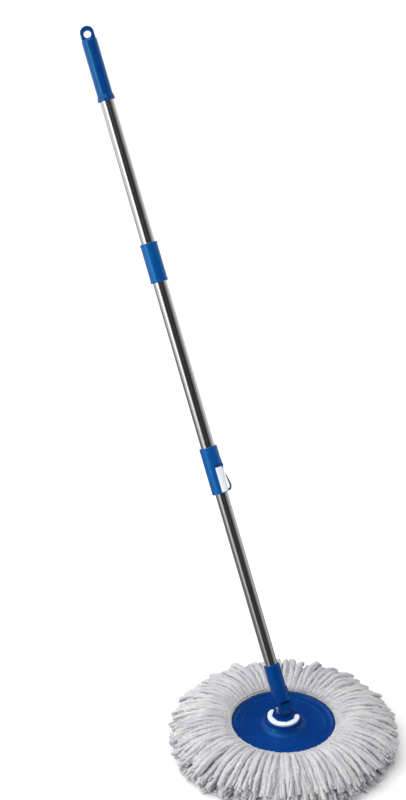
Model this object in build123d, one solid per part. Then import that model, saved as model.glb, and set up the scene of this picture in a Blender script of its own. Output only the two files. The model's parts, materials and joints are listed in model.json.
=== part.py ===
from build123d import *
import os
from math import hypot

# A push-to-spin mop: a telescopic steel pole on a round yarn head, leaning as it stands in use.
# Row frame: origin on the floor under the middle of the head, +Z up, pivot pin along Y, and the
# pole leaning towards -X. The pole's pieces are drawn upright, with the pin at the origin and the
# pole along +Z, and then leaned over as one. Heights along the pole are measured from the pin.

# Stance, in millimetres and degrees
LEAN = 30.0                # pole away from upright
PIN_HEIGHT = 69.0          # pivot pin above the floor

# Stretches of the pole, from the pin upwards, with the telescope drawn out
SOCKET_TOP = 68.0          # pin to the socket's rim
LOWER_SHOWN = 273.0        # lower tube between socket and lock
LOCK_LENGTH = 72.5
MIDDLE_SHOWN = 260.0       # middle tube between lock and coupler
COUPLER_LENGTH = 61.0
UPPER_SHOWN = 222.0        # upper tube between coupler and grip
GRIP_LENGTH = 115.5

# Tubes
TUBE_WALL = 0.6
POLE_OD = 21.0             # upper and middle tubes
LOWER_OD = 19.0

# Blue fittings on the pole
GRIP_WALL = 1.4
GRIP_FLARE = 1.5           # how far the grip's foot stands out
GRIP_FOOT = 3.0            # straight part of the flared foot
GRIP_FOOT_SLOPE = 7.0      # length over which the flare fades out
GRIP_SHOULDER = 5.0        # rounding of the grip's top
GRIP_CAP = 6.0             # solid plastic between the tube's end and the shoulder
EYE_RADIUS = 5.7           # hanging hole
EYE_BAR = 7.0              # material above the hole
EYE_LOOP_INSET = 1.4       # loop's side in from the grip's side
EYE_LOOP_THICKNESS = 9.0
EYE_TURN = -30.0           # hole's axis about the pole
COUPLER_WALL = 2.6
COUPLER_LIP = 3.5
COUPLER_LIP_RISE = 0.4
COUPLER_GRIP = 26.0        # depth of the upper tube in the coupler
COUPLER_SOCKET = 14.0      # depth of the middle tube's end in the coupler
THREAD_RELIEF = 0.8        # thread's radius in from the tube's bore
THREAD_LENGTH = 18.0
INSERT_DEPTH = 14.0        # insert's spigot in the middle tube
INSERT_COLLAR = 2.0
INSERT_WALL = 2.4
EDGE_ROUND = 1.2           # rounding of moulded rims

# Lock sleeve and flip lever
LOCK_WALL = 3.3            # wall round the middle tube
LOCK_GRIP = 24.0           # depth of the middle tube's end in the sleeve
LOCK_CORE_WALL = 1.7       # wall left under the lever
NOTCH_DEPTH = 28.0         # sleeve's top to the notch
NOTCH_SIDE = 1.7           # notch's flank, out from the pole's axis
BROW_SWELL = 0.8           # how far the sleeve swells out above the notch
BROW_LENGTH = 12.0
LEVER_TURN = 60.0          # lever's side of the pole
LEVER_PIVOT_DROP = 3.5     # hinge pin below the notch
LEVER_BARREL = 2.2         # radius of the lever's hinge barrel
LEVER_BARREL_WIDTH = 10.0
LEVER_TAB_RISE = 4.8       # thumb tab's furthest reach beyond the sleeve
LEVER_TAB_WIDTH = 17.0
LEVER_TAB_TOP = 9.0        # tab's start, below the hinge pin
LEVER_TAB_WAIST = 6.0      # height of the tab's fullest point above the lever's end
LEVER_TAB_ROUND = 2.4
LEVER_LIFT = 1.5           # lever's end above the sleeve's end
LEVER_PIN_RADIUS = 1.2
PAD_THICKNESS = 2.8
PAD_SHARE_TOP = 6.0        # pad's start, below the tab's start
EAR_RADIUS = 3.0
EAR_THICKNESS = 2.2

# Push drive, inside the tubes
TUBE_OVERLAP = 50.0        # lower tube's end above the lock, drawn out
STROKE = 150.0             # how far the pole pushes down
STROKE_SPARE = 4.0
ROD_WIDTH = 7.0
ROD_THICKNESS = 2.2
ROD_LEAD = 80.0            # one full twist
ROD_TAIL = 30.0            # rod below the lower tube's end, drawn out
ROD_TANG = 14.0            # straight end in the plug
ROD_PLUG_LENGTH = 20.0
RIVET_RADIUS = 1.5
NUT_WALL = 2.33            # nut's wall outside the rod's corners
NUT_HEIGHT = 8.0
NUT_SLOT_GAP = 0.12        # round the rod in the nut's slot
CUP_SPIGOT = 20.0
CUP_FLANGE = 3.0
CUP_FLOOR = 2.0            # chamber's floor above the tube's end
CUP_HEIGHT = 19.0          # cup's rim above the tube's end
CUP_WALL = 1.9
CUP_SHOULDER = 1.3         # flange and cap stand out from the journal
ROD_ROOM = 0.73            # round the rod's corners, where it only passes through
CAP_THICKNESS = 4.0
CAP_SPIGOT = 2.0
TOOTH_COUNT = 6
TOOTH_HEIGHT = 1.0
TOOTH_WIDTH = 3.6
SPRING_WIRE = 0.35         # radius of the wire
SPRING_INSET = 1.0         # spring's coil in from the chamber's wall
SPRING_TURNS = 4

# Socket, fork and pin
SOCKET_RIM_WALL = 3.0
SOCKET_FOOT_WALL = 2.75
SOCKET_DEPTH = 38.0        # lower tube in the socket
CROTCH = 9.5               # fork's floor above the pin
EAR_ROUND = 7.5            # fork ear's radius round the pin
EAR_WALL = 5.2
EAR_CORNER = 1.2           # fork ears' corners outside the socket's foot
PIN_RADIUS = 2.5
PIN_HEAD_RADIUS = 3.8
PIN_HEAD = 1.2

# Head
PLATE_RADIUS = 79.0
PLATE_TOP = 37.0           # plate's flat top above the floor
PLATE_WALL = 2.4
RIM_TOP = 40.5
RIM_WIDTH = 3.5
RIM_SLOPE = 2.5
STEP_RADIUS = 63.0
STEP_RISE = 1.0
SKIRT_DEPTH = 11.5         # rim's top to the skirt's edge
RIB_COUNT = 12
RIB_THICKNESS = 1.6
RIB_DEPTH = 2.6
HUB_RADIUS = 26.5          # raised hub's flat top
HUB_FOOT = 37.0            # hub's flank meets the plate
HUB_RISE = 13.2            # hub's top above the plate's flat
HUB_FLARE = 2.2            # how far the flank curves in
NECK_SIDES = 8
NECK_FLATS = 33.0          # across the flats of the block's neck
GROOVE_FLATS = 30.0
NECK_LIP = 1.8
FLANGE_FLATS = 40.0
FLANGE_THICKNESS = 3.4
KNUCKLE_WIDTH = 13.0
KNUCKLE_ROUND = 8.0
CLIP_OUTER = 24.4
CLIP_THICKNESS = 3.2
CLIP_REACH = 105.0         # half of the clip's arc, to the middle of its round end
CLIP_BAND = 8.4
CLIP_TURN = 308.0          # the clip's closed side
REFILL_INNER = 34.0
REFILL_THICKNESS = 3.0
REFILL_COLLAR = 2.4
REFILL_COLLAR_HEIGHT = 5.5
REFILL_DROP = 0.5          # refill ring below the skirt's edge
FRINGE_RADIUS = 176.0
FRINGE_CROWN = 47.0        # highest yarns above the floor
FRINGE_CROWN_RADIUS = 112.0
FRINGE_SHOULDER = 10.0     # how far the top edge is rounded in
FRINGE_SHOULDER_TOP = 38.0
FRINGE_EDGE_HEIGHT = 26.0
FRINGE_FOOT = 12.0         # how far the underside is rounded in

# Fits
SLIDE_GAP = 0.05           # radial, on pieces that slide or turn on each other
SIDE_GAP = 0.3             # between faces that pass each other
TELESCOPE_GAP = 0.3        # lock sleeve round the lower tube
CLIP_GAP = 0.1             # clip in the neck's groove
SAME_PLACE = 0.0001        # points nearer than this are one point

# Stations along the pole
LOCK_BOTTOM = SOCKET_TOP + LOWER_SHOWN
LOCK_TOP = LOCK_BOTTOM + LOCK_LENGTH
COUPLER_BOTTOM = LOCK_TOP + MIDDLE_SHOWN
COUPLER_TOP = COUPLER_BOTTOM + COUPLER_LENGTH
GRIP_BOTTOM = COUPLER_TOP + UPPER_SHOWN
GRIP_TOP = GRIP_BOTTOM + GRIP_LENGTH
EYE_HEIGHT = GRIP_TOP - EYE_BAR - EYE_RADIUS
SHOULDER_TOP = EYE_HEIGHT - EYE_RADIUS
UPPER_TUBE_TOP = SHOULDER_TOP - GRIP_SHOULDER - GRIP_CAP
UPPER_TUBE_BOTTOM = COUPLER_TOP - COUPLER_GRIP
MIDDLE_TUBE_TOP = COUPLER_BOTTOM + COUPLER_SOCKET - INSERT_COLLAR
MIDDLE_TUBE_BOTTOM = LOCK_TOP - LOCK_GRIP
LOWER_TUBE_TOP = LOCK_TOP + TUBE_OVERLAP
LOWER_TUBE_BOTTOM = SOCKET_TOP - SOCKET_DEPTH
NOTCH = LOCK_TOP - NOTCH_DEPTH
LEVER_PIVOT = NOTCH - LEVER_PIVOT_DROP
LEVER_END = LOCK_BOTTOM + LEVER_LIFT
CUP_TOP = LOWER_TUBE_TOP + CUP_HEIGHT
CHAMBER_FLOOR = LOWER_TUBE_TOP + CUP_FLOOR
CLUTCH_TOP = CUP_TOP + CAP_THICKNESS
ROD_PLUG_BOTTOM = CLUTCH_TOP + STROKE + STROKE_SPARE
ROD_BOTTOM = LOWER_TUBE_TOP - ROD_TAIL

# Heights in the head, above the floor
PLATE_UNDER = PLATE_TOP - PLATE_WALL
HUB_TOP = PLATE_TOP + HUB_RISE
HUB_UNDER = HUB_TOP - PLATE_WALL
SKIRT_FOOT = RIM_TOP - SKIRT_DEPTH
REFILL_TOP = SKIRT_FOOT - REFILL_DROP

# Radii that follow from the sizes above
POLE_RADIUS = POLE_OD / 2
POLE_BORE = POLE_RADIUS - TUBE_WALL
LOWER_RADIUS = LOWER_OD / 2
LOWER_BORE = LOWER_RADIUS - TUBE_WALL
GRIP_RADIUS = POLE_RADIUS + GRIP_WALL
COUPLER_RADIUS = POLE_RADIUS + COUPLER_WALL
THREAD_RADIUS = POLE_BORE - THREAD_RELIEF
LOCK_RADIUS = POLE_RADIUS + LOCK_WALL
LOCK_BORE = LOWER_RADIUS + TELESCOPE_GAP
LOCK_CORE = LOCK_BORE + LOCK_CORE_WALL
LEVER_INNER = LOCK_CORE + SIDE_GAP
LEVER_PIVOT_OUT = LOWER_RADIUS + TELESCOPE_GAP + LEVER_BARREL
LEVER_TAB_OUT = LOCK_RADIUS + LEVER_TAB_RISE
SOCKET_RIM = LOWER_RADIUS + SOCKET_RIM_WALL
SOCKET_FOOT = LOWER_RADIUS + SOCKET_FOOT_WALL
ROD_CORNER = hypot(ROD_WIDTH, ROD_THICKNESS) / 2
ROD_HOLE = ROD_CORNER + ROD_ROOM
NUT_RADIUS = ROD_CORNER + NUT_WALL
CHAMBER_RADIUS = NUT_RADIUS + SIDE_GAP
JOURNAL_RADIUS = CHAMBER_RADIUS + CUP_WALL
SHOULDER_RADIUS = JOURNAL_RADIUS + CUP_SHOULDER
SPRING_RADIUS = CHAMBER_RADIUS - SPRING_INSET

POLE_PLACE = Pos(0, 0, PIN_HEIGHT) * Rotation(0, -LEAN, 0)
LEVER_SIDE = Rotation(0, 0, LEVER_TURN)


def rod(radius, start, end):
    """Solid round bar along the pole's axis."""
    return Pos(0, 0, start) * Cylinder(radius, end - start, align=(Align.CENTER, Align.CENTER, Align.MIN))


def pipe(outer, inner, start, end):
    """Round bar with a straight bore."""
    return rod(outer, start, end) - rod(inner, start, end)


def turned(points):
    """Solid turned about Z from an outline of (radius, height) points."""
    outline = Polyline([(r, 0, z) for r, z in points], close=True)
    return revolve(make_face(outline), Axis.Z)


def upright_slab(points, half_width, rounding=0.0, rounded=()):
    """Slab drawn in the XZ plane and thickened evenly along Y, with chosen corners rounded."""
    face = Plane.XZ * make_face(Polyline(points, close=True))
    if rounding:
        corners = [
            corner for corner in face.vertices()
            if any(hypot(corner.X - x, corner.Z - z) < SAME_PLACE for x, z in rounded)
        ]
        face = fillet(corners, rounding)
    return extrude(face, half_width, both=True)


def round_rims(solid, *heights):
    """Round the outermost circular edge at each height."""
    for height in heights:
        circles = solid.edges().filter_by(GeomType.CIRCLE)
        level = circles.filter_by_position(Axis.Z, height - SAME_PLACE, height + SAME_PLACE)
        solid = fillet(level.sort_by(SortBy.RADIUS)[-1], EDGE_ROUND)
    return solid


# ---- handle: the grip, the two upper tubes and what is fixed to them ----

def make_grip():
    foot = GRIP_RADIUS + GRIP_FLARE
    flare_top = GRIP_BOTTOM + GRIP_FOOT + GRIP_FOOT_SLOPE
    body = turned([
        (0, GRIP_BOTTOM), (foot, GRIP_BOTTOM), (foot, GRIP_BOTTOM + GRIP_FOOT),
        (GRIP_RADIUS, flare_top), (GRIP_RADIUS, SHOULDER_TOP), (0, SHOULDER_TOP),
    ])
    body = round_rims(body, GRIP_BOTTOM)
    top_edge = body.edges().filter_by(GeomType.CIRCLE).sort_by(Axis.Z)[-1]
    body = fillet(top_edge, GRIP_SHOULDER)
    half = GRIP_RADIUS - EYE_LOOP_INSET
    root = SHOULDER_TOP - 2 * GRIP_SHOULDER
    loop = Pos(0, 0, root) * Box(
        2 * half, EYE_LOOP_THICKNESS, GRIP_TOP - half - root, align=(Align.CENTER, Align.CENTER, Align.MIN))
    loop += Pos(0, 0, GRIP_TOP - half) * Rotation(90, 0, 0) * Cylinder(half, EYE_LOOP_THICKNESS)
    hole = Pos(0, 0, EYE_HEIGHT) * Rotation(90, 0, 0) * Cylinder(EYE_RADIUS, 2 * EYE_LOOP_THICKNESS)
    loop = fillet(loop.edges().filter_by(GeomType.CIRCLE), EDGE_ROUND) - hole
    loop = Rotation(0, 0, EYE_TURN - 90) * loop
    return body + loop - rod(POLE_RADIUS, GRIP_BOTTOM, UPPER_TUBE_TOP)


def make_upper_tube():
    return pipe(POLE_RADIUS, POLE_BORE, UPPER_TUBE_BOTTOM, UPPER_TUBE_TOP)


def make_coupler_sleeve():
    lip = COUPLER_RADIUS + COUPLER_LIP_RISE
    waist_bottom = COUPLER_BOTTOM + COUPLER_LIP + COUPLER_LIP_RISE
    waist_top = COUPLER_TOP - COUPLER_LIP - COUPLER_LIP_RISE
    body = turned([
        (0, COUPLER_BOTTOM), (lip, COUPLER_BOTTOM), (lip, COUPLER_BOTTOM + COUPLER_LIP),
        (COUPLER_RADIUS, waist_bottom), (COUPLER_RADIUS, waist_top),
        (lip, COUPLER_TOP - COUPLER_LIP), (lip, COUPLER_TOP), (0, COUPLER_TOP),
    ])
    body = round_rims(body, COUPLER_BOTTOM, COUPLER_TOP)
    body -= rod(POLE_RADIUS, UPPER_TUBE_BOTTOM, COUPLER_TOP)
    body -= rod(POLE_RADIUS, COUPLER_BOTTOM, COUPLER_BOTTOM + COUPLER_SOCKET)
    return body - rod(THREAD_RADIUS, COUPLER_BOTTOM, COUPLER_TOP)


def make_coupler_insert():
    seat = MIDDLE_TUBE_TOP
    top = seat + INSERT_COLLAR + THREAD_LENGTH
    body = rod(POLE_BORE, seat - INSERT_DEPTH, seat)
    body += rod(POLE_RADIUS, seat, seat + INSERT_COLLAR)
    body += rod(THREAD_RADIUS, seat, top)
    return body - rod(THREAD_RADIUS - INSERT_WALL, seat - INSERT_DEPTH, top)


def make_middle_tube():
    return pipe(POLE_RADIUS, POLE_BORE, MIDDLE_TUBE_BOTTOM, MIDDLE_TUBE_TOP)


def make_lock_sleeve():
    body = round_rims(rod(LOCK_RADIUS, LOCK_BOTTOM, LOCK_TOP), LOCK_TOP)
    swollen = Pos(BROW_SWELL, 0, NOTCH) * Circle(LOCK_RADIUS)
    plain = Pos(0, 0, NOTCH + BROW_LENGTH) * Circle(LOCK_RADIUS)
    body += loft([swollen, plain])
    notch_length = NOTCH - LOCK_BOTTOM
    pocket = Pos(NOTCH_SIDE, 0, LOCK_BOTTOM) * Box(
        2 * LOCK_RADIUS, 4 * LOCK_RADIUS, notch_length, align=(Align.MIN, Align.CENTER, Align.MIN))
    body -= pocket - rod(LOCK_CORE, LOCK_BOTTOM, NOTCH)
    ear_middle = LEVER_BARREL_WIDTH / 2 + SIDE_GAP + EAR_THICKNESS / 2
    for side in (-1, 1):
        ear = Pos(LEVER_PIVOT_OUT, side * ear_middle, LEVER_PIVOT) * Rotation(90, 0, 0)
        body += ear * Cylinder(EAR_RADIUS, EAR_THICKNESS)
        root = Pos(LEVER_PIVOT_OUT, side * ear_middle, LEVER_PIVOT - EAR_RADIUS)
        body += root * Box(2 * EAR_RADIUS, EAR_THICKNESS, EAR_RADIUS + LEVER_PIVOT_DROP + EDGE_ROUND,
                           align=(Align.MAX, Align.CENTER, Align.MIN))
    window = Pos(LOCK_BORE - LOCK_CORE_WALL, 0, LEVER_PIVOT)
    body -= window * Box(LOCK_RADIUS, LEVER_BARREL_WIDTH + 2 * SIDE_GAP, 2 * LEVER_PIVOT_DROP,
                         align=(Align.MIN, Align.CENTER, Align.CENTER))
    hinge = Pos(LEVER_PIVOT_OUT, 0, LEVER_PIVOT) * Rotation(90, 0, 0)
    body -= hinge * Cylinder(LEVER_PIN_RADIUS, 2 * LOCK_RADIUS)
    body -= rod(LOCK_BORE, LOCK_BOTTOM, LOCK_TOP)
    body -= rod(POLE_RADIUS, MIDDLE_TUBE_BOTTOM, LOCK_TOP)
    return LEVER_SIDE * body


def make_lever_pin():
    length = LEVER_BARREL_WIDTH + 2 * SIDE_GAP + 2 * EAR_THICKNESS
    pin = Pos(LEVER_PIVOT_OUT, 0, LEVER_PIVOT) * Rotation(90, 0, 0) * Cylinder(LEVER_PIN_RADIUS, length)
    return LEVER_SIDE * pin


def make_rod_plug():
    body = rod(POLE_BORE, ROD_PLUG_BOTTOM, ROD_PLUG_BOTTOM + ROD_PLUG_LENGTH)
    body -= tang()
    return body - rivet_bar(2 * POLE_BORE)


def tang():
    """The twisted rod's straight end, in the plug."""
    return Pos(0, 0, ROD_PLUG_BOTTOM) * Box(
        ROD_WIDTH, ROD_THICKNESS, ROD_TANG, align=(Align.CENTER, Align.CENTER, Align.MIN))


def rivet_bar(length):
    """Cross bar through the middle of the tang, along Y."""
    return Pos(0, 0, ROD_PLUG_BOTTOM + ROD_TANG / 2) * Rotation(90, 0, 0) * Cylinder(RIVET_RADIUS, length)


def make_rod_rivet():
    return rivet_bar(2 * (POLE_BORE - EDGE_ROUND))


def twist_angle(height):
    """Angle of the rod's flat at a height, so that it meets the tang square at the plug."""
    return 360 * (height - ROD_PLUG_BOTTOM) / ROD_LEAD


def twisted_bar(width, thickness, start, end):
    flat = Pos(0, 0, start) * Rotation(0, 0, twist_angle(start)) * Rectangle(width, thickness)
    return Solid.extrude_linear_with_rotation(
        flat.face(), center=(0, 0, start), normal=(0, 0, end - start), angle=360 * (end - start) / ROD_LEAD)


def make_twisted_rod():
    bar = twisted_bar(ROD_WIDTH, ROD_THICKNESS, ROD_BOTTOM, ROD_PLUG_BOTTOM)
    return bar + tang() - rivet_bar(ROD_WIDTH)


# ---- guide bush ----

def make_guide_bush():
    start = LOWER_TUBE_TOP + CUP_FLANGE + SIDE_GAP
    return pipe(POLE_BORE - SLIDE_GAP, JOURNAL_RADIUS + SLIDE_GAP, start, CUP_TOP - SIDE_GAP)


# ---- lower pole: the tube with the clutch on its top and the fork on its foot ----

def make_lower_tube():
    return pipe(LOWER_RADIUS, LOWER_BORE, LOWER_TUBE_BOTTOM, LOWER_TUBE_TOP)


def ratchet_teeth():
    """Saw teeth in a ring on the chamber's floor."""
    tooth = upright_slab([(0, 0), (TOOTH_WIDTH, 0), (TOOTH_WIDTH, TOOTH_HEIGHT)], NUT_RADIUS)
    half = Pos(0, NUT_RADIUS, 0) * Box(4 * NUT_RADIUS, 2 * NUT_RADIUS, 4 * TOOTH_HEIGHT)
    ring = rod(NUT_RADIUS, 0, TOOTH_HEIGHT) - rod(ROD_HOLE, 0, TOOTH_HEIGHT)
    tooth = (tooth & half) & ring
    turns = [Pos(0, 0, CHAMBER_FLOOR) * Rotation(0, 0, 360 * i / TOOTH_COUNT) for i in range(TOOTH_COUNT)]
    return [turn * tooth for turn in turns]


def make_clutch_cup():
    body = rod(LOWER_BORE, LOWER_TUBE_TOP - CUP_SPIGOT, LOWER_TUBE_TOP)
    body += rod(SHOULDER_RADIUS, LOWER_TUBE_TOP, LOWER_TUBE_TOP + CUP_FLANGE)
    body += rod(JOURNAL_RADIUS, LOWER_TUBE_TOP, CUP_TOP)
    body -= rod(CHAMBER_RADIUS, CHAMBER_FLOOR, CUP_TOP)
    body -= rod(ROD_HOLE, LOWER_TUBE_TOP - CUP_SPIGOT, CUP_TOP)
    for tooth in ratchet_teeth():
        body += tooth
    return body


def make_drive_nut():
    body = rod(NUT_RADIUS, CHAMBER_FLOOR, CHAMBER_FLOOR + NUT_HEIGHT)
    for tooth in ratchet_teeth():
        body -= tooth
    room = 2 * NUT_SLOT_GAP
    slot = twisted_bar(ROD_WIDTH + room, ROD_THICKNESS + room,
                       CHAMBER_FLOOR - TOOTH_HEIGHT, CHAMBER_FLOOR + NUT_HEIGHT + TOOTH_HEIGHT)
    return body - slot


def make_clutch_spring():
    start = CHAMBER_FLOOR + NUT_HEIGHT + SPRING_WIRE
    height = CUP_TOP - CAP_SPIGOT - SPRING_WIRE - start
    path = Pos(0, 0, start) * Helix(height / SPRING_TURNS, height, SPRING_RADIUS)
    wire = Plane(origin=path @ 0, z_dir=path % 0) * Circle(SPRING_WIRE)
    return sweep(wire, path=path, is_frenet=True)


def make_clutch_cap():
    body = rod(SHOULDER_RADIUS, CUP_TOP, CLUTCH_TOP) + rod(CHAMBER_RADIUS, CUP_TOP - CAP_SPIGOT, CUP_TOP)
    return body - rod(ROD_HOLE, CUP_TOP - CAP_SPIGOT, CLUTCH_TOP)


def make_pole_socket():
    body = turned([
        (0, CROTCH), (SOCKET_FOOT, CROTCH), (SOCKET_FOOT, LOWER_TUBE_BOTTOM), (SOCKET_RIM, SOCKET_TOP),
        (0, SOCKET_TOP),
    ])
    body = round_rims(body, SOCKET_TOP)
    inner = KNUCKLE_WIDTH / 2 + SIDE_GAP
    outer = inner + EAR_WALL
    ears = Rotation(90, 0, 0) * Cylinder(EAR_ROUND, 2 * outer)
    ears += Box(2 * EAR_ROUND, 2 * outer, LOWER_TUBE_BOTTOM, align=(Align.CENTER, Align.CENTER, Align.MIN))
    ears &= rod(SOCKET_FOOT + EAR_CORNER, -EAR_ROUND, LOWER_TUBE_BOTTOM)
    gap = Pos(0, 0, CROTCH) * Box(4 * EAR_ROUND, 2 * inner, CROTCH + 2 * EAR_ROUND,
                                  align=(Align.CENTER, Align.CENTER, Align.MAX))
    body += ears - gap
    body -= rod(LOWER_RADIUS, LOWER_TUBE_BOTTOM, SOCKET_TOP)
    return body - Rotation(90, 0, 0) * Cylinder(PIN_RADIUS, 4 * EAR_ROUND)


def make_pivot_pin():
    half = KNUCKLE_WIDTH / 2 + SIDE_GAP + EAR_WALL
    shank = Rotation(90, 0, 0) * Cylinder(PIN_RADIUS, 2 * half)
    head = Rotation(90, 0, 0) * Cylinder(PIN_HEAD_RADIUS, PIN_HEAD)
    head = chamfer(head.edges().filter_by(GeomType.CIRCLE).sort_by(Axis.Y)[-1], PIN_HEAD / 2)
    head = Pos(0, half + PIN_HEAD / 2, 0) * head
    return shank + head + Rotation(0, 0, 180) * head


# ---- flip lever ----

def tab_slab(inset, half_width):
    """The thumb tab, with its outer skin and its end taken in by the inset."""
    out = LEVER_TAB_OUT - inset
    end = LEVER_END + inset
    shell = LOCK_RADIUS
    points = [
        (LEVER_INNER, end), (out - LEVER_TAB_ROUND, end), (out, LEVER_END + LEVER_TAB_WAIST),
        (shell, LEVER_PIVOT - LEVER_TAB_TOP - inset), (LEVER_INNER, LEVER_PIVOT - LEVER_TAB_TOP - inset),
    ]
    return upright_slab(points, half_width, LEVER_TAB_ROUND, points[1:3])


def make_lock_lever():
    top = LEVER_PIVOT - EDGE_ROUND
    body = rod(LOCK_RADIUS, LEVER_END, top)
    body += tab_slab(PAD_THICKNESS, LEVER_TAB_WIDTH / 2)
    neck = Pos(LEVER_PIVOT_OUT, 0, LEVER_PIVOT) * Box(
        LEVER_BARREL, LEVER_BARREL_WIDTH, LEVER_TAB_TOP, align=(Align.MIN, Align.CENTER, Align.MAX))
    body += neck & rod(LOCK_RADIUS + BROW_SWELL, LEVER_END, LEVER_PIVOT)
    body -= rod(LEVER_INNER, LEVER_END, LEVER_PIVOT)
    body -= Pos(NOTCH_SIDE + SIDE_GAP, 0, LEVER_END) * Box(
        4 * LOCK_RADIUS, 4 * LOCK_RADIUS, LOCK_LENGTH, align=(Align.MAX, Align.CENTER, Align.MIN))
    ear_middle = LEVER_BARREL_WIDTH / 2 + SIDE_GAP + EAR_THICKNESS / 2
    for side in (-1, 1):
        room = Pos(0, side * ear_middle, LEVER_PIVOT - EAR_RADIUS - 2 * SIDE_GAP)
        body -= room * Box(2 * LOCK_RADIUS, EAR_THICKNESS + 2 * SIDE_GAP, 2 * EAR_RADIUS,
                           align=(Align.MIN, Align.CENTER, Align.MIN))
    hinge = Pos(LEVER_PIVOT_OUT, 0, LEVER_PIVOT) * Rotation(90, 0, 0)
    body += hinge * Cylinder(LEVER_BARREL, LEVER_BARREL_WIDTH)
    body -= hinge * Cylinder(LEVER_PIN_RADIUS + SLIDE_GAP, LEVER_BARREL_WIDTH)
    return LEVER_SIDE * body


def make_lever_pad():
    body = tab_slab(0, LEVER_TAB_WIDTH / 2) - tab_slab(PAD_THICKNESS, LEVER_TAB_WIDTH)
    body -= rod(LOCK_RADIUS, LEVER_END, LEVER_PIVOT)
    top = LEVER_PIVOT - LEVER_TAB_TOP - PAD_SHARE_TOP
    body &= rod(2 * LEVER_TAB_OUT, LEVER_END, top)
    return LEVER_SIDE * body


# ---- head, drawn where it stands ----

def octagon_bar(across_flats, start, end):
    side = extrude(RegularPolygon(across_flats / 2, NECK_SIDES, major_radius=False), end - start)
    return Pos(0, 0, start) * Rotation(0, 0, 180 / NECK_SIDES) * side


def make_pivot_block():
    groove_top = HUB_TOP + CLIP_THICKNESS
    neck_top = groove_top + NECK_LIP
    body = octagon_bar(FLANGE_FLATS, HUB_UNDER - FLANGE_THICKNESS, HUB_UNDER)
    body += octagon_bar(NECK_FLATS, HUB_UNDER, HUB_TOP)
    body += octagon_bar(GROOVE_FLATS, HUB_TOP, groove_top)
    body += octagon_bar(NECK_FLATS, groove_top, neck_top)
    body += Pos(0, 0, PIN_HEIGHT) * Box(
        2 * KNUCKLE_ROUND, KNUCKLE_WIDTH, PIN_HEIGHT - neck_top, align=(Align.CENTER, Align.CENTER, Align.MAX))
    pin = Pos(0, 0, PIN_HEIGHT) * Rotation(90, 0, 0)
    body += pin * Cylinder(KNUCKLE_ROUND, KNUCKLE_WIDTH)
    return body - pin * Cylinder(PIN_RADIUS + SLIDE_GAP, 2 * KNUCKLE_WIDTH)


def boss(inset, base):
    """Raised hub with a flank that curves out to its foot, taken in by the inset."""
    top = HUB_TOP - inset
    radius = HUB_RADIUS - inset
    foot = HUB_FOOT - inset
    waist = ((radius + foot) / 2 - HUB_FLARE, 0, (top + base) / 2 - HUB_FLARE)
    outline = Polyline([(foot, 0, base), (0, 0, base), (0, 0, top), (radius, 0, top)])
    flank = ThreePointArc((radius, 0, top), waist, (foot, 0, base))
    return revolve(make_face(outline + flank), Axis.Z)


def plate_ribs():
    """Radial ribs under the plate's flat, which deepen where the step lifts it."""
    end = PLATE_RADIUS - PLATE_WALL - 2 * REFILL_COLLAR
    step = STEP_RADIUS - STEP_RISE
    rib = Pos(HUB_FOOT, 0, PLATE_UNDER) * Box(
        end - HUB_FOOT, RIB_THICKNESS, RIB_DEPTH, align=(Align.MIN, Align.CENTER, Align.MAX))
    rib += Pos(step, 0, PLATE_UNDER) * Box(
        end - step, RIB_THICKNESS, STEP_RISE, align=(Align.MIN, Align.CENTER, Align.MIN))
    return [Rotation(0, 0, 360 * i / RIB_COUNT) * rib for i in range(RIB_COUNT)]


def make_mop_plate():
    inner = PLATE_RADIUS - PLATE_WALL
    flat_top = PLATE_TOP + STEP_RISE
    rim_start = PLATE_RADIUS - RIM_WIDTH
    body = turned([
        (0, PLATE_TOP), (STEP_RADIUS, PLATE_TOP), (STEP_RADIUS + STEP_RISE, flat_top),
        (rim_start - RIM_SLOPE, flat_top), (rim_start, RIM_TOP), (PLATE_RADIUS, RIM_TOP),
        (PLATE_RADIUS, SKIRT_FOOT), (inner, SKIRT_FOOT), (inner, flat_top - PLATE_WALL),
        (STEP_RADIUS, flat_top - PLATE_WALL), (STEP_RADIUS - STEP_RISE, PLATE_UNDER), (0, PLATE_UNDER),
    ])
    body = round_rims(body, RIM_TOP)
    body += round_rims(boss(0, PLATE_TOP), HUB_TOP)
    body -= boss(PLATE_WALL, PLATE_UNDER)
    for rib in plate_ribs():
        body += rib
    return body - octagon_bar(NECK_FLATS, HUB_UNDER, HUB_TOP)


def make_retaining_clip():
    band_middle = CLIP_OUTER - CLIP_BAND / 2
    path = CenterArc((0, 0), band_middle, -CLIP_REACH, 2 * CLIP_REACH)
    band = extrude(SlotArc(path, CLIP_BAND), CLIP_THICKNESS)
    band = fillet(band.faces().sort_by(Axis.Z)[-1].edges(), EDGE_ROUND)
    clip = Pos(0, 0, HUB_TOP) * Rotation(0, 0, CLIP_TURN) * band
    return clip - octagon_bar(GROOVE_FLATS + 2 * CLIP_GAP, HUB_TOP, HUB_TOP + CLIP_THICKNESS)


def make_refill_ring():
    collar = PLATE_RADIUS - PLATE_WALL
    ring = pipe(PLATE_RADIUS, REFILL_INNER, REFILL_TOP - REFILL_THICKNESS, REFILL_TOP)
    return ring + pipe(collar, collar - REFILL_COLLAR, REFILL_TOP, REFILL_TOP + REFILL_COLLAR_HEIGHT)


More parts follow.
